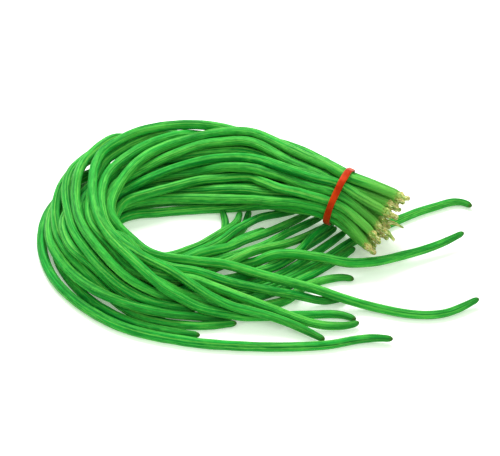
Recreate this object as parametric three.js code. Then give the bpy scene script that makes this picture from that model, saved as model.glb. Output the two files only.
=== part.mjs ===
import * as THREE from "three";

// A bunch of yardlong beans: held by one rubber band near the stem ends, laid down in a loop,
// with the free ends fanned out. Millimetres, +Z up, the floor is z = 0.

// One pod
const POD_RADIUS = 3.6;
const BAND_SHARE = 0.9;
const TAIL_SHARE = 0.8;
const TIP_SHARE = 0.42;
const STALK_RADIUS = 1.7;
const CALYX_RADIUS = 2.5;
const NECK_RADIUS = 3;
const STALK_LENGTH = 5;
const CALYX_AT = 8;
const NECK_AT = 11;
const SHOULDER_AT = 18;
const SIDES = 6;
const RING_SPACING = 13;
const POD_GAP = 0.2;
const FLAT_SHARE = Math.cos(Math.PI / SIDES);

// The rubber band
const BAND_WIDTH = 5;
const BAND_THICKNESS = 1.3;
const BAND_GAP = 0.3;
const BAND_BORE = 19.9;
const BAND_CORNERS = 40;

// The loop: the centre of its hole in plan, how far the innermost pod is from it at the far side
// and at the left end, and how the middle of the oval shifts for pods further out
const LOOP_X = -60;
const LOOP_Y = 5;
const LOOP_RADIUS = 37;
const LOOP_REACH = 43;
const OVAL_SHARE = 0.45;

// The pile that the pods make between the band and the loop
const PILE_PITCH = 7.2;
const PILE_RISE = 6.25;
const PILE_FOOT = 3.4;

// Colours
const POD_COLOUR = 0x3fa63a;
const BAND_COLOUR = 0xd8401c;

// Guide points are given as seen from a point in front of the bunch and above it:
// across to the right, down, and the height of the point over the floor.
const SIGHT_RISE = THREE.MathUtils.degToRad(40);
const SIGHT_DISTANCE = 1250;
const SIGHT_UNIT = 0.7;
const SIGHT_ACROSS = 250;
const SIGHT_DOWN = 228;
const SIGHT_HEIGHT = 20;

const UP = new THREE.Vector3(0, 0, 1);

function spot(across, down, height) {
  const reach = SIGHT_DISTANCE / SIGHT_UNIT;
  const cos = Math.cos(SIGHT_RISE);
  const sin = Math.sin(SIGHT_RISE);
  const right = (across - SIGHT_ACROSS) / reach;
  const rise = (SIGHT_DOWN - down) / reach;
  const ray = new THREE.Vector3(right, cos + rise * sin, rise * cos - sin);
  const eye = new THREE.Vector3(0, -SIGHT_DISTANCE * cos, SIGHT_HEIGHT + SIGHT_DISTANCE * sin);
  return eye.addScaledVector(ray, (height - eye.z) / ray.z);
}

// Where each pod lies. pile: its place across the pile (0 is the inside of the loop) and its layer.
// head: the same nearer the band, where it differs. fan: guide points on the pile, where it is seen.
// turn: its place in the left side of the loop, as distance from the innermost pod and height.
// bend: its place in the near left of the loop, as distance from the middle and height.
// under: its place in the near side of the loop, in plan Y and height. path: its last guide points.
const PODS = [
  // outer pods, seen all the way round
  {
    pile: [5.2, 0],
    path: [[101, 180, 3], [79, 187, 3], [62, 199, 3], [50, 213, 3], [43.5, 228, 3], [42, 245, 3],
      [46, 263, 3], [56, 281, 3], [73, 298, 3], [92, 311, 3], [120, 325, 3], [150, 334, 3],
      [178, 339.5, 3], [200, 343, 3],
      [240, 346, 3], [280, 347, 3], [320, 345.5, 3], [340, 343, 3], [360, 339, 3.4], [380, 338, 4],
      [392, 339, 4]],
  },
  {
    pile: [5.7, 1],
    path: [[80, 190, 4], [63, 208, 4], [57, 225, 3], [57, 243, 3], [62, 264, 3], [78, 288, 3],
      [102, 308.5, 3], [134, 322.5, 3], [173, 331.5, 3], [199, 335, 3]],
  },
  {
    pile: [5, 2],
    path: [[90, 174, 14], [75, 181, 13], [66, 188, 12], [59, 199, 11], [53, 212, 10],
      [50.5, 228, 9], [54.5, 245, 9], [65, 261, 9], [82, 278, 9], [106, 293, 9.3], [134, 304.6, 9.3],
      [165, 312.6, 9.3], [190, 316, 6], [215, 318, 3.5], [236, 317, 3]],
  },
  {
    pile: [6, 2],
    path: [[100, 156, 19], [81, 167, 19], [69, 179, 18.5], [62, 192, 17.5], [59, 206, 16],
      [60, 222, 15], [66, 241, 14], [77, 258, 13], [91, 274, 10], [108, 291, 7], [127, 308, 3.5],
      [145, 317, 3], [171, 321.5, 3], [205, 323.5, 3], [236, 321.5, 3]],
  },
  {
    pile: [5.5, 3],
    path: [[100, 150, 25], [90, 154.5, 26], [76, 166, 26.5], [68, 181, 26], [66.5, 196, 24],
      [68.5, 212, 22], [76, 234, 22], [90.6, 256, 21.5], [106.5, 274, 18.5], [126, 290, 14.5],
      [150, 301.4, 10.5], [173, 307, 8], [195, 310, 3]],
  },
  {
    pile: [6.5, 3],
    path: [[118, 138, 31], [107, 143, 32], [96, 151, 32.5], [82, 167, 32],
      [77, 185, 31], [77, 205, 29], [83, 226, 29], [97, 247, 28], [110, 262, 26], [126, 278, 22],
      [150, 292, 16], [166, 299, 9], [182, 302, 4]],
  },
  {
    pile: [7.5, 5], head: [6.7, 3.8],
    path: [[197, 130.5, 34.5], [170, 129.5, 35.5], [150, 131.5, 36.5], [130, 137, 36.5], [120, 142, 36.5],
      [110, 148, 36.5], [103, 153.5, 36], [97, 163, 35.5], [93.5, 176, 35], [92.8, 190, 34.5],
      [94.6, 206, 34.3], [101, 226, 34.5], [110, 240, 34.5], [120, 250, 33.5],
      [134, 263, 30.5], [151, 279, 25.5], [169, 293.4, 19], [189.5, 304.6, 11], [205, 311.5, 8],
      [225, 315.5, 5], [244, 317.6, 3.5], [290, 315.5, 3], [317, 314.5, 3], [343, 315, 3],
      [355, 319.5, 3]],
  },
  {
    pile: [7, 4], head: [6.3, 3.6],
    path: [[222, 137, 27.5], [205, 135, 28], [190, 134, 30.5], [180, 135, 32], [165, 139, 33],
      [150, 144.5, 33], [140, 149.5, 32.5], [130, 156, 32],
      [120, 163.5, 31], [110, 172.5, 30], [103.5, 183, 29.3], [100, 195, 28.8],
      [99, 206, 28.5], [104, 226, 29], [112, 237, 29.5], [122, 246, 29.5], [141.6, 258, 28],
      [154, 264, 26.5], [173, 273, 23.5], [205, 293.4, 17], [230, 306, 13], [255, 312, 10.5],
      [278, 318, 8], [300, 327, 5], [324, 339, 3]],
  },
  // upper pods of the near side
  {
    pile: [6, 4], head: [5.3, 5], turn: [-0.6, 22], bend: [33.4, 16.4], under: [-34.4, 15.6],
    fan: [[250, 135, 37], [225, 134.5, 34.5], [205, 137.5, 32.5], [190, 141, 31], [170, 146.5, 29.5],
      [150, 156, 28], [140, 162.5, 27], [130, 171, 26], [120, 181, 25], [113, 190, 24],
      [108, 198, 23], [104.5, 206, 22.5]],
    path: [[198, 266.6, 15.6], [230, 268.5, 15.6], [246, 273, 14], [278, 281, 12], [309, 289, 10],
      [341, 299, 7], [360, 304.5, 4], [380, 309, 3], [400, 313, 3], [426, 315, 3], [450, 312, 3.2],
      [467, 304.5, 4], [478, 299, 5]],
  },
  {
    pile: [5, 4], head: [4.7, 4], turn: [6.8, 22], bend: [44.1, 22.4], under: [-48.8, 15.6],
    fan: [[250, 142.5, 35], [220, 143, 30.5], [200, 145.5, 28.5], [185, 150, 28], [170, 154.5, 27],
      [153, 161, 25]],
    path: [[190, 277, 15.6], [222, 289, 13], [262, 306, 10], [293, 319, 5], [325, 326.5, 3],
      [349, 325.6, 3], [358, 323, 3]],
  },
  {
    pile: [3.5, 3], turn: [1, 15.8], bend: [36.9, 22.4], under: [-41.6, 15.6],
    fan: [[250, 159.5, 28.5], [220, 160.5, 23.5], [200, 164, 22], [180, 169, 21.5], [160, 174.5, 21],
      [140, 181.5, 20],
      [125, 188, 18.5], [115, 195, 17.5], [108, 203, 16.5]],
    path: [[198, 279, 13], [222, 285.5, 12], [262, 292, 10], [293, 296, 7], [325, 300.5, 3.5],
      [344, 297.5, 3.5]],
  },
  {
    pile: [7.9, 2.3], head: [7.4, 2.7], turn: [7.4, 28.4], bend: [50, 28], under: [-56, 15.6],
    fan: [[165, 137, 27.5], [150, 139.5, 29], [130, 147, 29.5], [120, 152.5, 29.5],
      [110, 159, 29.5], [103, 167, 29.5]],
    path: [[179, 296, 10], [200, 302, 7], [222, 308, 3.5], [246, 308, 3], [274, 302, 3],
      [290, 295, 3], [299, 286, 3], [317, 279.5, 3], [341, 276, 3], [352, 278, 3]],
  },
  // the fan under the pile, upper pods
  {
    pile: [0.5, 1], turn: [3.2, 3.4], bend: [36.7, 9.6], under: [-23.6, 9.4],
    fan: [[245, 197, 12.5], [220, 197.5, 9.6], [180, 198, 9.6], [155, 199.5, 9.4], [135, 203, 8.5],
      [118, 209.5, 6.5],
      [110, 215, 5]],
    path: [[198, 249.5, 8.5], [219, 236.5, 7], [236, 225, 5], [241.5, 212, 4]],
  },
  {
    pile: [1.5, 1], turn: [6.8, 9.6], bend: [44.1, 9.6], under: [-30.8, 9.4],
    path: [[198, 257, 9.4], [218, 247, 8], [236, 233, 6], [252, 224, 5], [265, 218, 4],
      [281, 215, 4], [296, 212, 4]],
  },
  {
    pile: [2, 2], turn: [-0.4, 9.6], bend: [40.4, 16], under: [-38, 9.4],
    fan: [[250, 176, 21], [220, 176, 17], [200, 178.5, 16], [180, 184, 15.5], [160, 190, 15],
      [140, 195.5, 14],
      [122, 202, 12], [112, 208, 10.5]],
    path: [[196, 263, 9.4], [227, 253.5, 8], [246, 243, 6], [270, 233, 5], [294, 221.5, 4],
      [312, 212, 4]],
  },
  {
    pile: [4.5, 3], turn: [8.2, 15.8], bend: [47.8, 16], under: [-45.2, 9.4],
    fan: [[250, 152.5, 28], [220, 152, 24.5], [200, 154.5, 23], [180, 159.5, 22], [165, 163.5, 21.5],
      [150, 168, 21],
      [138, 172, 20], [128, 177, 18.5]],
    path: [[200, 270, 9.4], [236, 259, 8], [262, 249, 7], [286, 235, 6], [302, 227, 5],
      [322, 217, 4]],
  },
  {
    pile: [3, 2], turn: [15.4, 15.8], bend: [55.2, 16], under: [-52.4, 9.4],
    path: [[200, 276, 9.4], [239, 265, 9], [262, 257, 8], [282, 250.5, 7], [300, 243.5, 6],
      [320, 233, 5], [336, 224, 4]],
  },
  {
    pile: [4, 2], turn: [14.2, 22], bend: [51.5, 22.4], under: [-59.6, 9.4],
    path: [[200, 282, 9.4], [226, 278, 9.4], [252, 269, 9], [278, 258.6, 8], [297, 248.5, 7],
      [310, 237, 6], [326, 226, 5], [345, 214, 4]],
  },
  // the fan under the pile, lower pods
  {
    pile: [0, 0], turn: [-4, 3.2], bend: [33, 3.2], under: [-20, 3],
    fan: [[240, 206, 6], [220, 206.5, 4], [200, 207.5, 3.4], [175, 208.5, 3.4], [150, 210, 3.4],
      [135, 210.5, 3.4], [122, 212, 3.4],
      [112, 216, 3.4], [106.5, 222, 3.4]],
    path: [[190, 259, 3], [212, 249, 3], [224, 238, 3], [227, 226, 3], [223.5, 212, 3.5]],
  },
  {
    pile: [1, 0], turn: [10.4, 3.2], bend: [40.4, 3.2], under: [-27.2, 3],
    path: [[200, 258, 3], [224, 245, 3], [242, 230, 3], [249, 211, 3]],
  },
  {
    pile: [2, 0], turn: [17.6, 3.2], bend: [47.8, 3.2], under: [-34.4, 3],
    path: [[200, 263, 3], [240, 261.5, 6], [270, 258.5, 9.4], [297, 258.6, 9.6], [325, 261, 9.6],
      [349, 264.5, 9.6], [380, 261.5, 8], [400, 256.5, 7], [420, 251, 6.5], [440, 244, 7],
      [463, 233, 9]],
  },
  {
    pile: [3, 0], turn: [24.8, 3.2], bend: [55.2, 3.2], under: [-41.6, 3],
    path: [[190, 270, 3], [219, 257, 3], [238, 244, 3], [264, 231, 3]],
  },
  {
    pile: [4, 0], turn: [21.2, 9.6], bend: [51.5, 9.6], under: [-48.8, 3],
    path: [[200, 284, 3], [235, 283, 3], [262, 274, 3], [284, 262, 3], [304, 249, 3],
      [321, 237, 3], [335, 227, 3]],
  },
  {
    pile: [2.5, 1], turn: [14, 9.6], bend: [62.6, 3.2], under: [-56, 3],
    path: [[200, 291, 3], [240, 289, 3], [272, 279, 3], [295, 266, 3], [315, 253, 3],
      [331, 242, 3], [345, 232, 3]],
  },
  {
    pile: [3.5, 1], turn: [28.4, 9.6], bend: [70, 3.2], under: [-63.2, 3],
    path: [[200, 296, 3], [240, 294, 3], [280, 284, 3], [310, 269, 3], [325, 260.5, 3],
      [341, 250, 3], [356, 240, 3.4], [375, 230, 3.5], [395, 221.5, 3], [420, 211.5, 3],
      [440, 205.5, 3], [460, 201.5, 3], [471, 206, 3]],
  },
  {
    pile: [4.5, 1], turn: [22.6, 15.8], bend: [58.9, 9.6], under: [-70.4, 3],
    path: [[200, 300, 3], [235, 300, 3], [270, 293, 3], [300, 281, 3], [322, 269.5, 3],
      [340, 258, 3], [354, 248.5, 3]],
  },
];

// Sections of the bundle from the stem ends to the loop: centre, direction towards the stem ends,
// and how round the bundle is there.
const SECTIONS = [
  { centre: [391, 224.5, 22], along: [1, -0.4, -0.38], round: 1, radius: 29 },
  { centre: [366, 210.5, 28.5], along: [1, -0.38, -0.33], round: 1, radius: 23.5 },
  { centre: [339, 196, 34.2], along: [1, -0.44, -0.24], round: 1, radius: 19.7 },
  { centre: [316, 186.5, 33.5], along: [1, -0.64, 0.04], round: 1, radius: 21 },
  { centre: [293, 179.5, 29.5], along: [1, -0.76, 0.24], round: 0.8, radius: 23.5 },
  { centre: [270, 175, 24.5], along: [1, -0.7, 0.3], round: 0.5, radius: 25 },
  { centre: [246, 172.5, 19.5], along: [1, -0.45, 0.22], round: 0.15, radius: 27 },
];
const BAND_SECTION = 2;

function headPlace(pod) {
  const [across, layer] = pod.head || pod.pile;
  return new THREE.Vector2(across * PILE_PITCH, layer * PILE_RISE);
}

const headMean = PODS.reduce((sum, pod) => sum.add(headPlace(pod)), new THREE.Vector2());
headMean.divideScalar(PODS.length);

// The outline of the pile across the bundle, seen from its middle: a wedge with its high side out
const PILE_CORNERS = [[-0.3, -0.3], [5.7, -0.3], [7.8, 3.2], [7.1, 4.9], [5.3, 5.9]].map(
  ([across, layer]) => new THREE.Vector2(across * PILE_PITCH, layer * PILE_RISE).sub(headMean)
);

function headOffset(pod) {
  return headPlace(pod).sub(headMean);
}

// The same place in a round bundle: each pod keeps its direction from the middle
function roundOffset(offset, radius) {
  const reach = offset.length();
  const direction = offset.clone().divideScalar(Math.max(reach, 1e-6));
  let edge = Infinity;
  PILE_CORNERS.forEach((corner, i) => {
    const next = PILE_CORNERS[(i + 1) % PILE_CORNERS.length];
    const normal = new THREE.Vector2(next.y - corner.y, corner.x - next.x).normalize();
    const slope = normal.dot(direction);
    if (slope > 1e-6) edge = Math.min(edge, normal.dot(corner) / slope);
  });
  return direction.multiplyScalar((reach / edge) * (radius - POD_RADIUS * BAND_SHARE));
}

function sectionAxes(section) {
  const along = new THREE.Vector3(...section.along).normalize();
  const outward = new THREE.Vector3().crossVectors(UP, along).normalize();
  const upward = new THREE.Vector3().crossVectors(along, outward).normalize();
  return { along, outward, upward };
}

// Small repeatable differences between pods
function scatter(seed) {
  const value = Math.sin(seed * 12.9898 + 4.1) * 43758.5453;
  return 2 * (value - Math.floor(value)) - 1;
}

// A pod that is seen on the pile from further right than this needs no last two sections
const SEEN_FROM = 235;

function headPoints(pod, index) {
  const offset = headOffset(pod);
  const sections = pod.fan && pod.fan[0][0] > SEEN_FROM ? SECTIONS.slice(0, -2) : SECTIONS;
  return sections.map((section, i) => {
    const { along, outward, upward } = sectionAxes(section);
    const flat = offset.clone().multiplyScalar(1 - section.round);
    const total = flat.add(roundOffset(offset, section.radius).multiplyScalar(section.round));
    const point = spot(...section.centre);
    point.addScaledVector(outward, total.x).addScaledVector(upward, total.y);
    if (i === 0) point.addScaledVector(along, 3 * scatter(index + 1));
    return point;
  });
}

// A point round the loop. The loop is longer than it is deep, so the left half is an oval whose
// end is at LOOP_X less the reach.
function around(radius, reach, angle, height) {
  const turn = THREE.MathUtils.degToRad(angle);
  const shift = OVAL_SHARE * Math.max(0, radius - LOOP_RADIUS) * Math.max(0, Math.sin(turn));
  const middle = LOOP_X + shift;
  return new THREE.Vector3(
    middle + (reach + middle - LOOP_X) * Math.cos(turn),
    LOOP_Y + radius * Math.sin(turn),
    height
  );
}

function pilePoints(pod) {
  const across = pod.pile[0] * PILE_PITCH;
  const height = PILE_FOOT + pod.pile[1] * PILE_RISE;
  return [
    new THREE.Vector3(-34, LOOP_Y + LOOP_RADIUS + across, height),
    around(LOOP_RADIUS + across, LOOP_REACH + across, 97, height),
  ];
}

function turnPoints(pod) {
  const across = pod.pile[0] * PILE_PITCH;
  const height = PILE_FOOT + pod.pile[1] * PILE_RISE;
  const [out, lift] = pod.turn;
  const [middle, rest] = pod.bend;
  const [near, low] = pod.under;
  const points = [];
  if (!pod.fan || pod.fan[pod.fan.length - 1][0] > 120) {
    [[120, 0.15], [140, 0.45], [160, 0.8]].forEach(([angle, share]) => {
      if (pod.fan && angle < 140) return;
      const radius = LOOP_RADIUS + across * (1 - share) + out * share;
      points.push(
        around(radius, LOOP_REACH + out, angle, THREE.MathUtils.lerp(height, lift, share))
      );
    });
  }
  points.push(around(LOOP_REACH + out, LOOP_REACH + out, 183, lift));
  const halfOut = (LOOP_REACH + out + middle) / 2;
  points.push(around(halfOut, halfOut, 203, (lift + rest) / 2));
  points.push(around(middle, middle, 222, rest));
  const halfNear = (LOOP_Y - near + middle) / 2;
  points.push(around(halfNear, halfNear, 245, (rest + low) / 2));
  points.push(new THREE.Vector3(LOOP_X, near, low));
  return points;
}

function guideCurve(pod, index) {
  const points = headPoints(pod, index);
  if (pod.fan) pod.fan.forEach((place) => points.push(spot(...place)));
  else if (pod.turn || pod.path[0][0] < 150) points.push(...pilePoints(pod));
  if (pod.turn) points.push(...turnPoints(pod));
  pod.path.forEach((place) => points.push(spot(...place)));
  return new THREE.CatmullRomCurve3(points, false, "centripetal");
}

// Thickness of a pod at a distance from the stem end
function podRadius(distance, length) {
  const knots = [
    [0, STALK_RADIUS],
    [STALK_LENGTH, STALK_RADIUS],
    [CALYX_AT, CALYX_RADIUS],
    [NECK_AT, NECK_RADIUS],
    [SHOULDER_AT, POD_RADIUS * BAND_SHARE],
    [SHOULDER_AT + 70, POD_RADIUS * 0.95],
    [SHOULDER_AT + 120, POD_RADIUS],
    [length * 0.72, POD_RADIUS],
    [length - 60, POD_RADIUS * 0.9],
    [length - 14, POD_RADIUS * TAIL_SHARE],
    [length - 5, POD_RADIUS * 0.68],
    [length, POD_RADIUS * TIP_SHARE],
  ];
  for (let i = 1; i < knots.length; i += 1) {
    if (distance <= knots[i][0]) {
      const share = (distance - knots[i - 1][0]) / (knots[i][0] - knots[i - 1][0]);
      return THREE.MathUtils.lerp(knots[i - 1][1], knots[i][1], share);
    }
  }
  return POD_RADIUS * TIP_SHARE;
}

// Distances along the pod at which it has a ring of vertices
function ringStations(length) {
  const start = [0, STALK_LENGTH, CALYX_AT, NECK_AT, SHOULDER_AT];
  const end = [length - 14, length - 5, length];
  const middle = end[0] - SHOULDER_AT;
  const count = Math.round(middle / RING_SPACING);
  for (let i = 1; i < count; i += 1) start.push(SHOULDER_AT + (middle * i) / count);
  return start.concat(end);
}

// Every pod as a chain of nodes along its guide
const chains = PODS.map((pod, index) => {
  const curve = guideCurve(pod, index);
  curve.arcLengthDivisions = 600;
  const length = curve.getLength();
  const stations = ringStations(length);
  const nodes = stations.map((distance) => curve.getPointAt(Math.min(distance / length, 1)));
  const radii = stations.map((distance) => podRadius(distance, length));
  const guide = nodes.map((node) => node.clone());
  const stationNear = (place) => {
    const point = spot(...place);
    const reaches = nodes.map((node) => node.distanceTo(point));
    return stations[reaches.indexOf(Math.min(...reaches))];
  };
  const held = [[stationNear(pod.path[0]), length + 1]];
  if (pod.fan) held.push([stationNear(pod.fan[0]), stationNear(pod.fan[pod.fan.length - 1])]);
  return { length, stations, nodes, radii, guide, held };
});

// Nodes on the guide points of a path or fan keep their place as seen and settle along the line
// of sight
function isHeld(chain, j) {
  return chain.held.some(([from, to]) => chain.stations[j] >= from && chain.stations[j] <= to);
}

const EYE = spot(SIGHT_ACROSS, SIGHT_DOWN, 0).sub(spot(SIGHT_ACROSS, SIGHT_DOWN, SIGHT_DISTANCE));
EYE.normalize().multiplyScalar(-SIGHT_DISTANCE).add(spot(SIGHT_ACROSS, SIGHT_DOWN, SIGHT_HEIGHT));

function pullToGuide(chain, j) {
  const node = chain.nodes[j];
  const pull = chain.guide[j].clone().sub(node);
  if (isHeld(chain, j)) {
    const sight = node.clone().sub(EYE).normalize();
    const depth = pull.dot(sight);
    node.addScaledVector(pull, HOLD).addScaledVector(sight, SINK - (HOLD - DRIFT) * depth);
  } else {
    node.addScaledVector(pull, DRIFT);
    if (chain.stations[j] > 150) node.z -= SINK;
  }
}

// Nearest points of two pod segments, as shares along each
function nearest(p1, q1, p2, q2) {
  const d1 = q1.clone().sub(p1);
  const d2 = q2.clone().sub(p2);
  const r = p1.clone().sub(p2);
  const a = d1.lengthSq();
  const e = d2.lengthSq();
  const f = d2.dot(r);
  const c = d1.dot(r);
  const b = d1.dot(d2);
  const denominator = a * e - b * b;
  let s = denominator > 1e-9 ? THREE.MathUtils.clamp((b * f - c * e) / denominator, 0, 1) : 0.5;
  let t = (b * s + f) / e;
  if (t < 0) {
    t = 0;
    s = THREE.MathUtils.clamp(-c / a, 0, 1);
  } else if (t > 1) {
    t = 1;
    s = THREE.MathUtils.clamp((b - c) / a, 0, 1);
  }
  return { s, t };
}

// Pairs of segments of different pods that are close enough to touch
function closePairs() {
  const segments = [];
  chains.forEach((chain, i) => {
    for (let j = 0; j + 1 < chain.nodes.length; j += 1) segments.push([i, j]);
  });
  const middles = segments.map(([i, j]) =>
    chains[i].nodes[j].clone().add(chains[i].nodes[j + 1]).multiplyScalar(0.5)
  );
  const halves = segments.map(([i, j]) => chains[i].nodes[j].distanceTo(chains[i].nodes[j + 1]) / 2);
  const pairs = [];
  for (let m = 0; m < segments.length; m += 1) {
    for (let n = m + 1; n < segments.length; n += 1) {
      if (segments[m][0] === segments[n][0]) continue;
      const reach = halves[m] + halves[n] + 2 * POD_RADIUS + 3;
      if (middles[m].distanceToSquared(middles[n]) < reach * reach) {
        pairs.push([...segments[m], ...segments[n]]);
      }
    }
  }
  return pairs;
}

// Pushes two segments apart where they are closer than their thickness; returns the shortfall
function separate([i, j, k, l], share) {
  const p1 = chains[i].nodes[j];
  const q1 = chains[i].nodes[j + 1];
  const p2 = chains[k].nodes[l];
  const q2 = chains[k].nodes[l + 1];
  const { s, t } = nearest(p1, q1, p2, q2);
  const x1 = p1.clone().lerp(q1, s);
  const x2 = p2.clone().lerp(q2, t);
  const away = x1.sub(x2);
  const distance = Math.max(away.length(), 1e-6);
  const r1 = THREE.MathUtils.lerp(chains[i].radii[j], chains[i].radii[j + 1], s);
  const r2 = THREE.MathUtils.lerp(chains[k].radii[l], chains[k].radii[l + 1], t);
  const short = r1 + r2 + POD_GAP - distance;
  if (short <= 0) return 0;
  const give1 = isHeld(chains[i], j) ? 0.5 : 1;
  const give2 = isHeld(chains[k], l) ? 0.5 : 1;
  const weight = give1 * ((1 - s) ** 2 + s ** 2) + give2 * ((1 - t) ** 2 + t ** 2);
  away.multiplyScalar((share * short) / (distance * weight));
  p1.addScaledVector(away, give1 * (1 - s));
  q1.addScaledVector(away, give1 * s);
  p2.addScaledVector(away, give2 * (t - 1));
  q2.addScaledVector(away, -give2 * t);
  return short;
}

// Smooths how far each pod has moved off its guide, so that it stays a smooth curve
function smooth(chain, share) {
  const moved = chain.nodes.map((node, j) => node.clone().sub(chain.guide[j]));
  chain.nodes.forEach((node, j) => {
    const before = moved[Math.max(j - 1, 0)];
    const after = moved[Math.min(j + 1, moved.length - 1)];
    const mean = before.clone().add(after).multiplyScalar(0.5);
    node.addScaledVector(mean.sub(moved[j]), share);
  });
}

const bandSection = SECTIONS[BAND_SECTION];
const bandCentre = spot(...bandSection.centre);
const bandAxes = sectionAxes(bandSection);

// Keeps the pods inside the band where they pass through it
function gather() {
  chains.forEach((chain) => {
    chain.nodes.forEach((node, j) => {
      const offset = node.clone().sub(bandCentre);
      const along = offset.dot(bandAxes.along);
      if (Math.abs(along) > 16 || chain.stations[j] > 130) return;
      offset.addScaledVector(bandAxes.along, -along);
      const room = BAND_BORE + (Math.abs(along) / 16) ** 2 * 2 - chain.radii[j];
      const excess = offset.length() - room;
      if (excess > 0) node.addScaledVector(offset.normalize(), -0.5 * excess);
    });
  });
}

function keepAboveFloor() {
  chains.forEach((chain) => {
    chain.nodes.forEach((node, j) => {
      node.z = Math.max(node.z, chain.radii[j] * FLAT_SHARE);
    });
  });
}

// The pods settle: each round pulls them to their guides, smooths them and parts those that touch
const HOLD = 0.2;
const DRIFT = 0.06;
const SINK = 0.015;
const ROUNDS = 300;
const SETTLE_ROUNDS = 100;
const PART_ROUNDS = 60;
let pairs = closePairs();
let worst = 0;
for (let round = 0; round < ROUNDS + SETTLE_ROUNDS + PART_ROUNDS; round += 1) {
  if (round % 10 === 0) pairs = closePairs();
  if (round < ROUNDS) {
    chains.forEach((chain) => chain.nodes.forEach((node, j) => pullToGuide(chain, j)));
    chains.forEach((chain) => smooth(chain, 0.5));
  } else if (round < ROUNDS + SETTLE_ROUNDS) {
    chains.forEach((chain) => smooth(chain, 0.1));
  }
  gather();
  for (let pass = 0; pass < 3; pass += 1) {
    worst = 0;
    pairs.forEach((pair) => {
      worst = Math.max(worst, separate(pair, 0.7));
    });
    keepAboveFloor();
  }
}

// Pods that still touch somewhere are made a little thinner there
function trim() {
  closePairs().forEach(([i, j, k, l]) => {
    const { s, t } = nearest(
      chains[i].nodes[j], chains[i].nodes[j + 1], chains[k].nodes[l], chains[k].nodes[l + 1]
    );
    const x1 = chains[i].nodes[j].clone().lerp(chains[i].nodes[j + 1], s);
    const x2 = chains[k].nodes[l].clone().lerp(chains[k].nodes[l + 1], t);
    const r1 = THREE.MathUtils.lerp(chains[i].radii[j], chains[i].radii[j + 1], s);
    const r2 = THREE.MathUtils.lerp(chains[k].radii[l], chains[k].radii[l + 1], t);
    const share = (x1.distanceTo(x2) - TRIM_GAP) / (r1 + r2);
    if (share >= 1) return;
    [[i, j], [i, j + 1], [k, l], [k, l + 1]].forEach(([m, n]) => {
      chains[m].radii[n] *= Math.max(share, 0.7);
    });
  });
}
const TRIM_GAP = 0.08;
trim();

// A pod: rings of vertices square to its course, closed at both ends. Each ring stands upright,
// so that its lowest side lies flat on the floor where the pod does.
function podGeometry(chain) {
  const { nodes, radii } = chain;
  const positions = [];
  const faces = [];
  nodes.forEach((node, j) => {
    const before = nodes[Math.max(j - 1, 0)];
    const after = nodes[Math.min(j + 1, nodes.length - 1)];
    const course = after.clone().sub(before).normalize();
    const side = new THREE.Vector3().crossVectors(course, UP).normalize();
    const top = new THREE.Vector3().crossVectors(side, course).normalize();
    for (let k = 0; k < SIDES; k += 1) {
      const angle = ((k + 0.5) * 2 * Math.PI) / SIDES + Math.PI / 2;
      const corner = node.clone();
      corner.addScaledVector(side, radii[j] * Math.cos(angle));
      corner.addScaledVector(top, radii[j] * Math.sin(angle));
      positions.push(corner.x, corner.y, Math.max(corner.z, 0));
    }
  });
  for (let j = 0; j + 1 < nodes.length; j += 1) {
    for (let k = 0; k < SIDES; k += 1) {
      const a = j * SIDES + k;
      const b = j * SIDES + ((k + 1) % SIDES);
      faces.push(a, a + SIDES, b, b, a + SIDES, b + SIDES);
    }
  }
  [0, nodes.length - 1].forEach((j) => {
    const inner = nodes[j === 0 ? 1 : j - 1];
    const outward = nodes[j].clone().sub(inner).normalize();
    const apex = nodes[j].clone().addScaledVector(outward, 0.5 * radii[j]);
    const index = positions.length / 3;
    positions.push(apex.x, apex.y, apex.z);
    for (let k = 0; k < SIDES; k += 1) {
      const a = j * SIDES + k;
      const b = j * SIDES + ((k + 1) % SIDES);
      if (j === 0) faces.push(index, a, b);
      else faces.push(index, b, a);
    }
  });
  const geometry = new THREE.BufferGeometry();
  geometry.setAttribute("position", new THREE.Float32BufferAttribute(positions, 3));
  geometry.setIndex(faces);
  geometry.computeVertexNormals();
  return geometry;
}

// Where the pods cross a plane square to the bundle: middles and radii in that plane
function crossings(offset) {
  const found = [];
  chains.forEach((chain) => {
    for (let j = 0; j + 1 < chain.nodes.length && chain.stations[j] < 150; j += 1) {
      const from = chain.nodes[j].clone().sub(bandCentre);
      const to = chain.nodes[j + 1].clone().sub(bandCentre);
      const a = from.dot(bandAxes.along) - offset;
      const b = to.dot(bandAxes.along) - offset;
      if (a * b > 0) continue;
      const middle = from.lerp(to, a / (a - b));
      const radius = THREE.MathUtils.lerp(chain.radii[j], chain.radii[j + 1], a / (a - b));
      const slant = Math.abs(to.sub(from).normalize().dot(bandAxes.along));
      found.push({
        x: middle.dot(bandAxes.outward),
        y: middle.dot(bandAxes.upward),
        r: radius / Math.max(slant, 0.8),
      });
    }
  });
  return found;
}

// How far a band stretched round the pods lies from the middle, in one direction
function bandReach(found, angle) {
  let reach = Infinity;
  for (let k = -30; k <= 30; k += 1) {
    const turn = angle + (k * Math.PI) / 72;
    const out = Math.max(...found.map(({ x, y, r }) => x * Math.cos(turn) + y * Math.sin(turn) + r));
    reach = Math.min(reach, out / Math.cos(turn - angle));
  }
  return reach;
}

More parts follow.
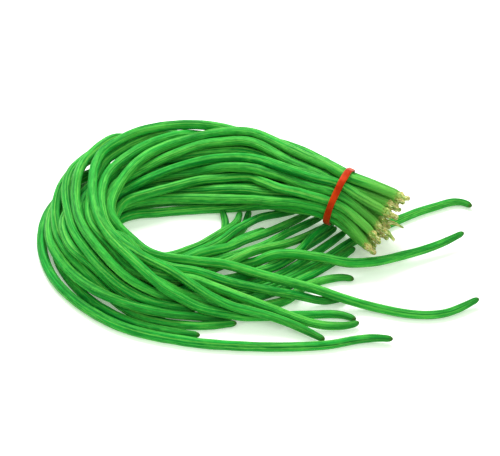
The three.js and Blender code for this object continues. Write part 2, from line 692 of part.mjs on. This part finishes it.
function bandGeometry() {
  const positions = [];
  const faces = [];
  const half = BAND_WIDTH / 2;
  const sections = [-half - 1, -half, half, half + 1].map(crossings);
  const edges = [
    { along: -half, out: 0 },
    { along: -half, out: 1 },
    { along: half, out: 1 },
    { along: half, out: 0 },
  ];
  for (let k = 0; k < BAND_CORNERS; k += 1) {
    const angle = (k * 2 * Math.PI) / BAND_CORNERS;
    const reach = Math.max(...sections.map((found) => bandReach(found, angle)));
    edges.forEach(({ along, out }) => {
      const distance = reach * 1.004 + BAND_GAP + out * BAND_THICKNESS;
      const corner = bandCentre.clone().addScaledVector(bandAxes.along, along);
      corner.addScaledVector(bandAxes.outward, distance * Math.cos(angle));
      corner.addScaledVector(bandAxes.upward, distance * Math.sin(angle));
      positions.push(corner.x, corner.y, corner.z);
    });
    const next = (k + 1) % BAND_CORNERS;
    for (let e = 0; e < 4; e += 1) {
      const f = (e + 1) % 4;
      faces.push(4 * k + e, 4 * next + e, 4 * next + f);
      faces.push(4 * k + e, 4 * next + f, 4 * k + f);
    }
  }
  const geometry = new THREE.BufferGeometry();
  geometry.setAttribute("position", new THREE.Float32BufferAttribute(positions, 3));
  geometry.setIndex(faces);
  geometry.computeVertexNormals();
  return geometry;
}

const bunch = new THREE.Group();
bunch.name = "yardlong_bean_bunch";

chains.forEach((chain, index) => {
  const material = new THREE.MeshStandardMaterial({
    color: POD_COLOUR, roughness: 0.45, metalness: 0,
  });
  const pod = new THREE.Mesh(podGeometry(chain), material);
  pod.name = "bean_" + String(index + 1).padStart(2, "0");
  bunch.add(pod);
});

const band = new THREE.Mesh(
  bandGeometry(),
  new THREE.MeshStandardMaterial({ color: BAND_COLOUR, roughness: 0.55, metalness: 0 })
);
band.name = "rubber_band";
bunch.add(band);

// The middle of the bunch's box is over the origin
const box = new THREE.Box3().setFromObject(bunch);
const middle = box.getCenter(new THREE.Vector3());
bunch.position.set(-middle.x, -middle.y, -box.min.z);

export default bunch;
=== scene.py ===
"""Looks for the bunch of yardlong beans: each pod is built again as a smooth, slightly ridged pod on
the course of its solid, with its stalk, withered calyx and tip, and the band as a flat rubber loop."""

import math

import bpy
import numpy as np
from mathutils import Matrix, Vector


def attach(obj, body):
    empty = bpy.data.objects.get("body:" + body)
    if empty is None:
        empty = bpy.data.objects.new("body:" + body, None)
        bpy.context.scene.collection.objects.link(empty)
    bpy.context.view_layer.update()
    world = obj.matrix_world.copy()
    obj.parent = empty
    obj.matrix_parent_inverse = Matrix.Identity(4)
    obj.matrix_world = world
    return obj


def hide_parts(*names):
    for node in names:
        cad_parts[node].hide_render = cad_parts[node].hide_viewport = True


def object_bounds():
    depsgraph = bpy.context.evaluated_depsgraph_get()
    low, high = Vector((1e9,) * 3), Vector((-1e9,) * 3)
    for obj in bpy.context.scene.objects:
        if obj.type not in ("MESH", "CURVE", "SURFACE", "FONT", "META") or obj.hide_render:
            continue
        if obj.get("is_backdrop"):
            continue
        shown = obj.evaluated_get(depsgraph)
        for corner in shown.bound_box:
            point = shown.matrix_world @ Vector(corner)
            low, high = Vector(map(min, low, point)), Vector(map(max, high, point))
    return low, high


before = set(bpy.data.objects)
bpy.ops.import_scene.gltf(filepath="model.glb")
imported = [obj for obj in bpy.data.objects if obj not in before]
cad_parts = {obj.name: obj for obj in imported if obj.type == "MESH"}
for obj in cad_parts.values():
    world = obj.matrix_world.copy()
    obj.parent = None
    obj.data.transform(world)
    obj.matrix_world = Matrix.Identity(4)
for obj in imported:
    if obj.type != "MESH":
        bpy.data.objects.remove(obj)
CAD_LOW, CAD_HIGH = (np.array(c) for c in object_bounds())

MM = 0.001  # metres in a millimetre
SIDES = 22  # corners around a pod
TURN = np.linspace(0, 2 * np.pi, SIDES, endpoint=False)
SNUG = 0.975  # a pod's round radius as a share of its solid's corner radius

# Pod sizes in mm. Places along a pod start at the middle of its solid's first ring.
CUT_END = -0.45  # the cut stem end
NECK_END = 12.0  # end of the stalk, calyx and neck, which have the closest rings
NECK_STEP = 0.45
BODY_STEP = 2.1
TAIL = 14.0  # length of the tail, which has closer rings again
TAIL_STEP = 0.9
POINT = 1.5  # length of the rounded point
POINT_RINGS = 9
POINT_SPREAD = 2.2  # length that the point's rings take up, with what lies past the solid's
TIP_PAST = 0.72  # how far the last ring lies past the solid's
TAPER = 5.5  # length over which the tip grows thin
TAPER_FROM = 5.0  # the taper starts with the thickness that the pod has this far before its end
TAPER_PAST = 0.75  # how far the taper's end lies past the solid's last ring
HEADING_REACH = 0.4  # how far before and after a ring its heading is taken
FIRST_SEED = 16.0  # swellings and ridges start this far from the stem end
LAST_SEED = 8.0  # and end this far from the tip
SEED_FADE = 25.0  # and rise and fall over this length
SEED_PITCH = (15, 19)  # from one seed swelling to the next, shortest and longest
KNOBS_END = 9.0  # the stalk and calyx are knobby up to here
KNOBS_FADE = 3.0
CALYX_AT = 6.6  # the middle of the calyx's lobes
CALYX_REACH = 1.4
LEAST_RADIUS = 0.3
GIRTH = 23.0  # around a pod
STEM_AT = np.array([94.0, 4.0, 22.0])  # the middle of the stem ends

STEM_PROFILE = np.array([  # place along the pod, radius
    (-0.45, 0.7), (-0.2, 1.15), (0.3, 1.45), (1.2, 1.6), (2.0, 1.5), (3.0, 1.25), (4.0, 1.5),
    (4.8, 2.1), (5.8, 2.45), (6.8, 2.6), (7.6, 2.45), (8.6, 2.6), (10.0, 2.8), (12.5, 3.05),
])

STALKS = {  # pods with a long withered stalk: its reach from the stem end, its start and end radius
    "pod_18": ((8.8, -2.2, -3.0), 1.5, 0.5),
    "pod_17": ((6.0, -4.6, -5.0), 1.9, 0.9),
}
STALK_PLACE = -3.0  # where a stalk's corners count as being along the pod
STALK_BEND = 0.9
STALK_RINGS = 12

# How far a pod's surface lies out of round, as shares of its radius
SWELLING = 0.012
UNEVEN = 0.008
OVAL = 0.034
BROAD_RIDGES = 0.020
NARROW_RIDGES = 0.016
BROAD_KNOBS = 0.10
FINE_KNOBS = 0.07
LOBES = 0.13
STALK_BUMPS = 0.18

# Band sizes in mm
BAND_HALF = 2.5  # half of its width
BAND_CLEAR = 0.06  # between the solid's inner face and the band's
BAND_THINNER = 0.08  # than the solid
BAND_STEPS = 200
BAND_SECTION = [  # across, as a share of half the width, and outward, as a share of the thickness
    (-1, 0.30), (-0.96, 0.06), (-0.5, 0.0), (0.5, 0.0), (0.96, 0.06), (1, 0.30), (1, 0.70),
    (0.96, 0.92), (0.5, 1.0), (0.0, 0.97), (-0.5, 1.0), (-0.96, 0.92), (-1, 0.70),
]

# The picture
FOCAL_LENGTH = 1785.7  # pixels
PICTURE_WIDTH = 500  # pixels
SENSOR_WIDTH = 36.0  # mm
VIEW_RISE = math.radians(40)
VIEW_DISTANCE = 1.25  # m
VIEW_TARGET = Vector((-0.004903, 0.000985, 0.020))

# Reading the solids


def merged(node):
    """Corner points in millimetres and faces of a CAD node, with shared corners joined."""
    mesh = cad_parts[node].data
    co = np.zeros(len(mesh.vertices) * 3)
    mesh.vertices.foreach_get("co", co)
    co = co.reshape(-1, 3) / MM
    _, first, same = np.unique(np.round(co, 3), axis=0, return_index=True, return_inverse=True)
    same = same.reshape(-1)
    faces = [[int(same[v]) for v in p.vertices] for p in mesh.polygons]
    return co[first], faces


def layers(near, start):
    """The points in layers of equal distance in edges from a start point."""
    seen, found = {start}, [[start]]
    while True:
        ahead = sorted({n for v in found[-1] for n in near[v]} - seen)
        if not ahead:
            return found
        seen.update(ahead)
        found.append(ahead)


def course(node):
    """Middles and radii of a pod's rings, from the stem end to the tip, in millimetres."""
    co, faces = merged(node)
    near = {i: set() for i in range(len(co))}
    for f in faces:
        for a in f:
            near[a].update(b for b in f if b != a)
    end = layers(near, 0)[-1][0]
    rings = layers(near, end)
    other = rings[-1][0]
    if np.linalg.norm(co[other] - STEM_AT) < np.linalg.norm(co[end] - STEM_AT):
        rings = layers(near, other)
    middles, radii = [], []
    for ring in rings[1:-1]:
        pts = co[ring]
        pts = pts[np.argsort(pts[:, 2])]
        left, right = pts[2], pts[3]  # the side corners are never cut by the floor
        middles.append((left + right) / 2)
        radii.append(np.linalg.norm(left - right) / 2)
    return np.array(middles), np.array(radii)


# Curves and chance


def unit(v):
    """Vectors made one long."""
    return v / np.linalg.norm(v, axis=-1, keepdims=True)


def spline(x, y, at):
    """A natural cubic curve through the points y at x."""
    n = len(x)
    h = np.diff(x)
    system = np.zeros((n, n))
    right = np.zeros((n, y.shape[1]))
    system[0, 0] = system[-1, -1] = 1
    for i in range(1, n - 1):
        system[i, i - 1], system[i, i], system[i, i + 1] = h[i - 1], 2 * (h[i - 1] + h[i]), h[i]
        right[i] = 6 * ((y[i + 1] - y[i]) / h[i] - (y[i] - y[i - 1]) / h[i - 1])
    m = np.linalg.solve(system, right)
    i = np.clip(np.searchsorted(x, at, side="right") - 1, 0, n - 2)
    a, b, w = (x[i + 1] - at)[:, None], (at - x[i])[:, None], h[i][:, None]
    return (
        (m[i] * a**3 + m[i + 1] * b**3) / (6 * w)
        + (y[i] / w - m[i] * w / 6) * a
        + (y[i + 1] / w - m[i + 1] * w / 6) * b
    )


def wander(rng, s, reach, amount):
    """A smooth random course along s, changing over about reach millimetres."""
    knots = np.arange(-2, s[-1] / reach + 4)
    values = rng.normal(0, amount, (len(knots), 1))
    return spline(knots * reach, values, s)[:, 0]


# Pods


def ring_places(length):
    """Where a pod's rings are along its course, closer together at both ends."""
    closing = (1 - np.linspace(0, 0.97, POINT_RINGS)) ** 1.6
    return np.concatenate([
        np.arange(CUT_END, NECK_END, NECK_STEP),
        np.arange(NECK_END, length - TAIL, BODY_STEP),
        np.arange(length - TAIL, length - POINT, TAIL_STEP),
        length + TIP_PAST - POINT_SPREAD * closing,
    ])


def ring_directions(along, middles, s):
    """Middles of the rings at s, and the directions ahead, to the side and up there."""
    length = along[-1]
    inside = np.clip(s, 0, length)
    before = spline(along, middles, np.clip(inside - HEADING_REACH, 0, length))
    after = spline(along, middles, np.clip(inside + HEADING_REACH, 0, length))
    tangent = unit(after - before)
    centre = spline(along, middles, inside) + tangent * (s - inside)[:, None]
    side = unit(np.cross(tangent, [0, 0, 1]))
    return centre, tangent, side, np.cross(side, tangent)


def thickness(rng, s, along, radii, body):
    """Ring radii: the stem profile, then the solid's with seed swellings, then a rounded tip."""
    length = along[-1]
    r = np.interp(np.clip(s, 0, length), along, radii) * SNUG
    early = s < STEM_PROFILE[-1, 0]
    r[early] = np.interp(s[early], STEM_PROFILE[:, 0], STEM_PROFILE[:, 1])
    left = length + TAPER_PAST - s
    close = left < TAPER
    before_tip = np.interp(length - TAPER_FROM, along, radii) * SNUG
    r[close] = before_tip * np.sqrt(np.clip(1 - (1 - left[close] / TAPER) ** 2.4, 0.004, 1))
    pitch = rng.uniform(*SEED_PITCH)
    swell = np.cos(2 * np.pi * (s / pitch + wander(rng, s, 60, 0.25)))
    uneven = SWELLING * swell * (1 + wander(rng, s, 50, 0.6)) + wander(rng, s, 28, UNEVEN)
    return r * (1 + body * uneven)


def within_box(r, centre, tangent):
    """The radii, made smaller where a ring would reach past the top or a side of the solids' box."""
    for axis in range(3):
        reach = np.sqrt(np.clip(1 - tangent[:, axis] ** 2, 0.04, 1))
        r = np.minimum(r, np.maximum(CAD_HIGH[axis] / MM - centre[:, axis], LEAST_RADIUS) / reach)
        if axis < 2:
            r = np.minimum(r, np.maximum(centre[:, axis] - CAD_LOW[axis] / MM, LEAST_RADIUS) / reach)
    return r


def cross_section(rng, s, body):
    """Each corner's share of its ring's radius, and the pod's twist at each ring.

    The body is a little oval, with low lengthwise ridges that wander round it. The stalk and calyx
    are knobby, and the calyx has five lobes."""
    twist = (rng.uniform(0, 2 * np.pi) + wander(rng, s, 90, 0.5))[:, None]
    oval = OVAL * np.cos(2 * (TURN - twist))
    broad = BROAD_RIDGES * np.cos(5 * (TURN - twist) + 1.3 + wander(rng, s, 70, 0.5)[:, None])
    narrow = NARROW_RIDGES * np.cos(7 * (TURN + twist) + wander(rng, s, 45, 0.7)[:, None])
    s = s[:, None]
    knobs = np.clip((KNOBS_END - s) / KNOBS_FADE, 0, 1)
    lobes = np.exp(-(((s - CALYX_AT) / CALYX_REACH) ** 2))
    shape = 1 + body[:, None] * (oval + broad + narrow)
    shape += knobs * BROAD_KNOBS * np.sin(3 * TURN + 5 * s / 4 + twist)
    shape += knobs * FINE_KNOBS * np.sin(7 * TURN - 3.1 * s + twist)
    shape += lobes * LOBES * np.cos(5 * (TURN - twist))
    return shape, twist[:, 0]


def stalk_rings(start, reach, wide, fine):
    """Rings of a bent, tapering, slightly three-sided stalk."""
    reach = np.array(reach)
    way = unit(reach)
    side = unit(np.cross(way, [0, 0, 1]))
    top = np.cross(side, way)
    round_it = np.cos(TURN)[:, None] * side + np.sin(TURN)[:, None] * top
    rings = []
    for share in np.linspace(-0.25, 1, STALK_RINGS):
        middle = start + reach * share + top * STALK_BEND * math.sin(3.0 * share)
        r = (wide + (fine - wide) * share) * (1 + STALK_BUMPS * np.sin(3 * TURN + 7 * share))
        rings.append(middle + r[:, None] * round_it)
    return np.array(rings)


def tube_faces(first, rows):
    """Four-cornered faces between rows of SIDES corners, numbered from first on."""
    row, column = np.meshgrid(np.arange(rows - 1), np.arange(SIDES), indexing="ij")
    a = first + row * SIDES + column
    b = first + row * SIDES + (column + 1) % SIDES
    return np.stack([a, b, b + SIDES, a + SIDES], axis=-1).reshape(-1, 4).tolist()


def end_faces(corners):
    """Triangles from the pod's two end points, numbered after its corners, to its end rings."""
    column = np.arange(SIDES)
    after = (column + 1) % SIDES
    last_row = corners - SIDES
    start = np.stack([np.full(SIDES, corners), after, column], axis=-1)
    finish = np.stack([np.full(SIDES, corners + 1), last_row + column, last_row + after], axis=-1)
    return start.tolist() + finish.tolist()


def across_tube(corner, tube_quads):
    """Where across its strip each face corner lies. The faces at the seam end at the far edge."""
    column = corner % SIDES / SIDES
    at_seam = corner[: tube_quads * 4 : 4] % SIDES == SIDES - 1
    column[: tube_quads * 4].reshape(-1, 4)[at_seam, 1:3] = 1.0
    return 0.05 + 0.9 * column


def pod_map(pod_faces, stalk_faces, tube_quads, place, length, stalk_first):
    """The pod's map: lengthwise strips of it side by side, with the stalk past the first one's end."""
    strips = max(1, round(math.sqrt(length / GIRTH)))
    strip_length = length / strips
    corner = np.concatenate(pod_faces)
    column = across_tube(corner, tube_quads)
    end_triangles = np.arange(tube_quads * 4, len(corner)).reshape(-1, 3)
    column[end_triangles[:, 0]] = column[end_triangles[:, 1]]
    face_starts = np.array([place[f].min() for f in pod_faces])
    strip = np.clip(face_starts // strip_length, 0, strips - 1)
    strip = strip.repeat([len(f) for f in pod_faces])
    row = 0.01 + 0.94 * (place[corner] - strip * strip_length) / strip_length
    uv = np.stack([(strip + column) / strips, row], axis=-1)
    if stalk_faces:
        corner = np.concatenate(stalk_faces) - stalk_first
        column = across_tube(corner, len(stalk_faces) - 1)
        row = 0.975 + 0.001 * (corner // SIDES)
        uv = np.concatenate([uv, np.stack([column / strips, row], axis=-1)])
    return np.clip(uv, 0, 1)


def store(mesh, name, values):
    """Keeps three numbers for each corner of the mesh."""
    mesh.attributes.new(name, "FLOAT_VECTOR", "POINT").data.foreach_set("vector", values.ravel())


def pod_mesh(name, middles, radii, seed):
    """A pod built on its course, with its map and what its material reads."""
    rng = np.random.default_rng(seed)
    along = np.concatenate([[0], np.cumsum(np.linalg.norm(np.diff(middles, axis=0), axis=1))])
    length = along[-1]
    s = ring_places(length)
    centre, tangent, side, top = ring_directions(along, middles, s)
    body = np.clip((s - FIRST_SEED) / SEED_FADE, 0, 1)
    body *= np.clip((length - LAST_SEED - s) / SEED_FADE, 0, 1)
    r = within_box(thickness(rng, s, along, radii, body), centre, tangent)
    shape, twist = cross_section(rng, s, body)
    round_it = (
        np.cos(TURN)[None, :, None] * side[:, None, :] + np.sin(TURN)[None, :, None] * top[:, None, :]
    )
    rings = centre[:, None, :] + (r[:, None] * shape)[:, :, None] * round_it
    ends = np.array([centre[0] - tangent[0] * 0.1, centre[-1] + tangent[-1] * 0.03])
    rings[:, :, 2] = np.maximum(rings[:, :, 2], 0.0)
    ends[1, 2] = max(ends[1, 2], 0.0)
    stalk = stalk_rings(centre[0], *STALKS[name]) if name in STALKS else np.zeros((0, SIDES, 3))
    co = np.concatenate([rings.reshape(-1, 3), ends, stalk.reshape(-1, 3)]) * MM
    co = np.clip(co, CAD_LOW, CAD_HIGH)

    corners = len(s) * SIDES
    tube = tube_faces(0, len(s))
    pod_faces = tube + end_faces(corners)
    stalk_faces = []
    if len(stalk):
        stalk_faces = tube_faces(corners + 2, len(stalk)) + [list(range(len(co) - SIDES, len(co)))]
    mesh = bpy.data.meshes.new(name)
    mesh.from_pydata(co.tolist(), [], pod_faces + stalk_faces)
    mesh.shade_smooth()

    stalk_corners = len(stalk) * SIDES
    place = np.concatenate([s.repeat(SIDES), s[[0, -1]], np.full(stalk_corners, STALK_PLACE)])
    uv = pod_map(pod_faces, stalk_faces, len(tube), place, length, corners + 2)
    mesh.uv_layers.new(name="OFBake").data.foreach_set("uv", uv.ravel())

    # what the material reads: place on the skin, distance from both ends, tone
    turned = np.concatenate([np.tile(TURN, len(s)), [0, 0], np.tile(TURN, len(stalk))])
    turned[:corners] += (0.35 * twist).repeat(SIDES)
    skin_at = np.stack([np.cos(turned) + 7 * seed, np.sin(turned) - 5 * seed, place / 10], axis=-1)
    skin_at[corners + 2 :, 2] -= (np.arange(stalk_corners) // SIDES) * 0.08
    store(mesh, "pod_place", skin_at)
    tone = np.full(len(place), rng.uniform(0, 1))
    store(mesh, "pod_ends", np.stack([place, length - place, tone], axis=-1))
    return mesh


# Band


def smoothed(turn, at, values):
    """Values known at the angles at, carried over to the angles turn and smoothed."""
    values = np.interp(turn, at, values, period=2 * np.pi)
    for _ in range(6):
        values = (np.roll(values, 1) + 2 * values + np.roll(values, -1)) / 4
    return values


def band_mesh():
    """The band's ring, resampled smoothly, with a rounded flat section that waves a little."""
    co, _ = merged("rubber_band")
    middle = co.mean(axis=0)
    _, axes = np.linalg.eigh(np.cov((co - middle).T))
    normal = axes[:, 0]
    across = axes[:, 2]
    up = np.cross(normal, across)
    x = (co - middle) @ across
    y = (co - middle) @ up
    angle = np.arctan2(y, x)
    sections = np.argsort(angle).reshape(-1, 4)  # two inner and two outer corners each
    at = angle[sections].mean(axis=1)
    reach = np.sort(np.hypot(y, x)[sections], axis=1)
    turn = np.linspace(-np.pi, np.pi, BAND_STEPS, endpoint=False)
    inner = smoothed(turn, at, reach[:, :2].mean(axis=1))
    outer = smoothed(turn, at, reach[:, 2:].mean(axis=1))
    half = BAND_HALF - 0.10 * (1 + np.sin(3 * turn + 0.6)) - 0.06 * (1 + np.sin(8 * turn))
    shift = 0.10 * np.sin(2 * turn + 1.1)
    points, places = [], []
    for t, low, high, wide, moved in zip(turn, inner, outer, half, shift):
        way = np.cos(t) * across + np.sin(t) * up
        for aside, outward in BAND_SECTION:
            distance = low + BAND_CLEAR + (high - low - BAND_THINNER) * outward
            points.append(middle + distance * way + normal * (aside * wide + moved))
            places.append((t * 20, outward * 3, aside * wide))
    n = len(BAND_SECTION)
    faces = []
    for i in range(BAND_STEPS):
        j = (i + 1) % BAND_STEPS
        for k in range(n):
            m = (k + 1) % n
            faces.append([i * n + k, i * n + m, j * n + m, j * n + k])
    mesh = bpy.data.meshes.new("band")
    mesh.from_pydata([tuple(p * MM) for p in points], [], faces)
    mesh.shade_smooth()
    store(mesh, "band_place", np.array(places, float))
    return mesh


# Materials

# Colours of the pods, as linear red, green and blue
DEEP_GREEN = (0.000, 0.235, 0.024)
MID_GREEN = (0.006, 0.390, 0.042)
WARM_GREEN = (0.052, 0.455, 0.052)
# pale lines: partly the skin's own streaks, partly painted highlight in the tone of a lit highlight
PALE_STREAK_AND_HIGHLIGHT = (0.175, 0.570, 0.085)
DARK_LINE = (0.000, 0.110, 0.018)
FINE_LINE = (0.150, 0.560, 0.085)
LIGHT_BLOTCH = (0.095, 0.540, 0.068)
DARK_BLOTCH = (0.000, 0.150, 0.012)
MOTTLE = (0.000, 0.150, 0.020)
NECK_GREEN = (0.190, 0.460, 0.075)
TAIL_GREEN = (0.004, 0.150, 0.016)
BROWN_POINT = (0.050, 0.090, 0.015)
CALYX_GREEN = (0.240, 0.460, 0.090)
STRAW = (0.360, 0.370, 0.060)
LIGHT_STRAW = (0.740, 0.780, 0.250)
CREAM = (0.970, 0.970, 0.640)
DRY_GREEN = (0.220, 0.440, 0.080)
TAN = (0.700, 0.500, 0.200)
# painted shade for the hollows between the calyx's knobs
HOLLOW_SHADE = (0.045, 0.060, 0.008)

# Colours of the band
DARK_RED = (0.34, 0.016, 0.001)
RED = (0.52, 0.036, 0.003)
LIGHT_RED = (0.72, 0.110, 0.015)


class Tree:
    """Short names for the shader nodes used here."""

    def __init__(self, name):
        self.material = bpy.data.materials.new(name)
        self.material.use_nodes = True
        self.nodes = self.material.node_tree.nodes
        self.links = self.material.node_tree.links
        self.shader = self.nodes["Principled BSDF"]

    def feed(self, socket, value):
        if isinstance(value, bpy.types.NodeSocket):
            self.links.new(value, socket)
        elif socket.type == "RGBA":
            socket.default_value = (*value, 1.0)
        else:
            socket.default_value = value

    def put(self, name, value):
        self.feed(self.shader.inputs[name], value)

    def attribute(self, name):
        n = self.nodes.new("ShaderNodeAttribute")
        n.attribute_name = name
        return n.outputs["Vector"]

    def split(self, vector):
        n = self.nodes.new("ShaderNodeSeparateXYZ")
        self.feed(n.inputs[0], vector)
        return n.outputs

    def noise(self, vector, scale, detail=2.0, rough=0.5):
        """Cloudy noise of a vector, whose three parts are scaled each on its own."""
        stretch = self.nodes.new("ShaderNodeVectorMath")
        stretch.operation = "MULTIPLY"
        self.feed(stretch.inputs[0], vector)
        self.feed(stretch.inputs[1], scale)
        n = self.nodes.new("ShaderNodeTexNoise")
        self.feed(n.inputs["Vector"], stretch.outputs["Vector"])
        n.inputs["Scale"].default_value = 1.0
        n.inputs["Detail"].default_value = detail
        n.inputs["Roughness"].default_value = rough
        return n.outputs["Fac"]

    def math(self, operation, a, b):
        n = self.nodes.new("ShaderNodeMath")
        n.operation = operation
        self.feed(n.inputs[0], a)
        self.feed(n.inputs[1], b)
        return n.outputs[0]

    def ramp(self, value, low, high, to_low=0.0, to_high=1.0):
        n = self.nodes.new("ShaderNodeMapRange")
        n.interpolation_type = "SMOOTHSTEP"
        for k, x in enumerate((value, low, high, to_low, to_high)):
            self.feed(n.inputs[k], x)
        return n.outputs[0]

    def mix(self, share, a, b):
        n = self.nodes.new("ShaderNodeMix")
        n.data_type = "RGBA"
        self.feed(n.inputs[0], share)
        self.feed(n.inputs[6], a)
        self.feed(n.inputs[7], b)
        return n.outputs[2]

    def bump(self, height, strength, distance, normal=None):
        n = self.nodes.new("ShaderNodeBump")
        n.inputs["Strength"].default_value = strength
        n.inputs["Distance"].default_value = distance
        self.feed(n.inputs["Height"], height)
        if normal is not None:
            self.feed(n.inputs["Normal"], normal)
        return n.outputs["Normal"]


def pod_material():
    t = Tree("pod_skin")
    place = t.attribute("pod_place")
    from_stem, from_tip, tone = t.split(t.attribute("pod_ends"))

    # green skin: slow lengthwise patches, fine pale lengthwise lines (the broader ones partly painted
    # highlight), small mottling
    patches = t.noise(place, (0.9, 0.9, 0.16), 3.0)
    lines = t.noise(place, (3.6, 3.6, 0.07))
    fine = t.noise(place, (8.0, 8.0, 0.16))
    mottle = t.noise(place, (3.6, 3.6, 1.4), 3.0, 0.6)
    blotch = t.noise(place, (1.3, 1.3, 0.75), 3.0, 0.6)
    skin = t.mix(t.ramp(patches, 0.36, 0.64), DEEP_GREEN, MID_GREEN)
    skin = t.mix(t.ramp(tone, 0.0, 1.0, 0.0, 0.60), skin, WARM_GREEN)
    # pale lengthwise lines: partly the skin's own streaks, partly painted highlight
    skin = t.mix(t.ramp(lines, 0.51, 0.66, 0.0, 0.75), skin, PALE_STREAK_AND_HIGHLIGHT)
    skin = t.mix(t.ramp(lines, 0.47, 0.32, 0.0, 0.75), skin, DARK_LINE)
    skin = t.mix(t.ramp(fine, 0.54, 0.72, 0.0, 0.45), skin, FINE_LINE)
    skin = t.mix(t.ramp(blotch, 0.50, 0.66, 0.0, 0.48), skin, LIGHT_BLOTCH)
    skin = t.mix(t.ramp(blotch, 0.48, 0.34, 0.0, 0.40), skin, DARK_BLOTCH)
    skin = t.mix(t.ramp(mottle, 0.46, 0.66, 0.0, 0.42), skin, MOTTLE)

    # paler towards the stem, darker at the tip with a brown point
    skin = t.mix(t.ramp(from_stem, 45.0, 9.0, 0.0, 0.45), skin, NECK_GREEN)
    skin = t.mix(t.ramp(from_tip, 26.0, 5.0, 0.0, 0.50), skin, TAIL_GREEN)
    skin = t.mix(t.ramp(from_tip, 2.2, 0.2, 0.0, 0.7), skin, BROWN_POINT)

    # withered calyx and stalk
    bits = t.noise(place, (3.0, 3.0, 6.0), 3.0, 0.65)
    kind = t.noise(place, (0.7, 0.7, 1.6), 1.0)
    dry = t.mix(t.ramp(bits, 0.38, 0.52), STRAW, LIGHT_STRAW)
    dry = t.mix(t.ramp(bits, 0.52, 0.62), dry, CREAM)
    dry = t.mix(t.ramp(kind, 0.50, 0.60, 0.0, 0.75), dry, DRY_GREEN)
    dry = t.mix(t.ramp(kind, 0.46, 0.38, 0.0, 0.60), dry, TAN)
    # painted shade: darkest where the knobs' bump is lowest, in their hollows
    dry = t.mix(t.ramp(bits, 0.41, 0.33), dry, HOLLOW_SHADE)
    edge = t.math("ADD", from_stem, t.ramp(bits, 0.3, 0.7, -2.0, 2.0))
    colour = t.mix(t.ramp(edge, 11.0, 7.5, 0.0, 0.6), skin, CALYX_GREEN)
    t.put("Base Color", t.mix(t.ramp(edge, 8.4, 6.8), colour, dry))

    gloss = t.ramp(t.noise(place, (2.0, 2.0, 0.9)), 0.3, 0.7, 0.46, 0.62)
    t.put("Roughness", t.math("ADD", gloss, t.ramp(from_stem, 9.0, 7.0, 0.0, 0.35)))
    ridges = t.bump(lines, 0.75, 0.0016)
    ridges = t.bump(fine, 0.45, 0.0006, ridges)
    knobby = t.math("MULTIPLY", bits, t.ramp(from_stem, 9.0, 7.5))
    t.put("Normal", t.bump(knobby, 0.9, 0.0012, ridges))
    t.put("Specular IOR Level", 0.16)
    t.put("Specular Tint", (0.60, 1.0, 0.25))
    t.put("Subsurface Weight", 0.12)
    t.put("Subsurface Radius", (0.3, 1.0, 0.2))
    t.put("Subsurface Scale", 0.0012)
    return t.material


def band_material():
    t = Tree("band_rubber")
    place = t.attribute("band_place")
    grain = t.noise(place, (0.5, 0.5, 3.0), 3.0, 0.6)
    patches = t.noise(place, (0.12, 0.12, 0.12))
    colour = t.mix(t.ramp(patches, 0.35, 0.65), DARK_RED, RED)
    colour = t.mix(t.ramp(grain, 0.55, 0.78, 0.0, 0.35), colour, LIGHT_RED)
    t.put("Base Color", colour)
    t.put("Roughness", t.ramp(grain, 0.3, 0.7, 0.42, 0.6))
    t.put("Normal", t.bump(grain, 0.4, 0.0003))
    t.put("Specular IOR Level", 0.15)
    t.put("Specular Tint", (1.0, 0.42, 0.25))
    return t.material


def glowing_paper_material():
    t = Tree("floor_paper_glow")
    t.put("Base Color", (0.92, 0.92, 0.92))
    t.put("Roughness", 0.9)
    t.put("Specular IOR Level", 0.1)
    # painted light: the floor glows faintly green, standing in for light bounced off the pods, which
    # lifts and tints its shadows
    t.put("Emission Color", (0.84, 1.0, 0.78))
    t.put("Emission Strength", 0.28)
    return t.material


# The object


def add_object(name, data):
    made = bpy.data.objects.new(name, data)
    bpy.context.scene.collection.objects.link(made)
    return made


def piece(name, mesh, node, material):
    made = add_object(name, mesh)
    mesh.materials.append(material)
    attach(made, "root")
    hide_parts(node)


skin = pod_material()
beans = sorted(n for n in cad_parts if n.startswith("bean_"))
for number, node in enumerate(beans, start=1):
    name = node.replace("bean", "pod")
    piece(name, pod_mesh(name, *course(node), number), node, skin)
piece("band", band_mesh(), "rubber_band", band_material())

# Floor, light and camera


def lay_floor(half, drop):
    """A pale floor with a faint green glow, a little under the object."""
    mesh = bpy.data.meshes.new("floor")
    corners = [(-half, -half, 0), (half, -half, 0), (half, half, 0), (-half, half, 0)]
    mesh.from_pydata(corners, [], [[0, 1, 2, 3]])
    mesh.materials.append(glowing_paper_material())
    floor = add_object("floor", mesh)
    floor.location.z = -drop
    floor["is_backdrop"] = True


def lamp(name, at, size, power):
    """A round soft light that shines on the middle of the bunch."""
    data = bpy.data.lights.new(name, "AREA")
    data.shape = "DISK"
    data.size = size
    data.energy = power
    data.color = (1.0, 0.97, 1.0)
    made = add_object(name, data)
    made.location = at
    made.rotation_euler = (-Vector(at)).to_track_quat("-Z", "Y").to_euler()


def sky(colour, strength):
    world = bpy.data.worlds.new("studio")
    world.use_nodes = True
    background = world.node_tree.nodes["Background"]
    background.inputs["Color"].default_value = (*colour, 1.0)
    background.inputs["Strength"].default_value = strength
    bpy.context.scene.world = world


lay_floor(4.0, 0.0002)
sky((0.90, 1.0, 0.86), 0.80)
lamp("key", (-0.2, 0.9, 1.1), 0.9, 26.0)
lamp("fill", (0.5, -0.9, 1.1), 1.0, 5.0)

camera = add_object("camera", bpy.data.cameras.new("camera"))
camera.data.sensor_width = SENSOR_WIDTH
camera.data.lens = SENSOR_WIDTH * FOCAL_LENGTH / PICTURE_WIDTH
camera.data.clip_start = 0.05
backward = Vector((0.0, -math.cos(VIEW_RISE), math.sin(VIEW_RISE)))
camera.location = VIEW_TARGET + backward * VIEW_DISTANCE
camera.rotation_euler = (-backward).to_track_quat("-Z", "Y").to_euler()
bpy.context.scene.camera = camera
bpy.context.scene.view_settings.view_transform = "Standard"
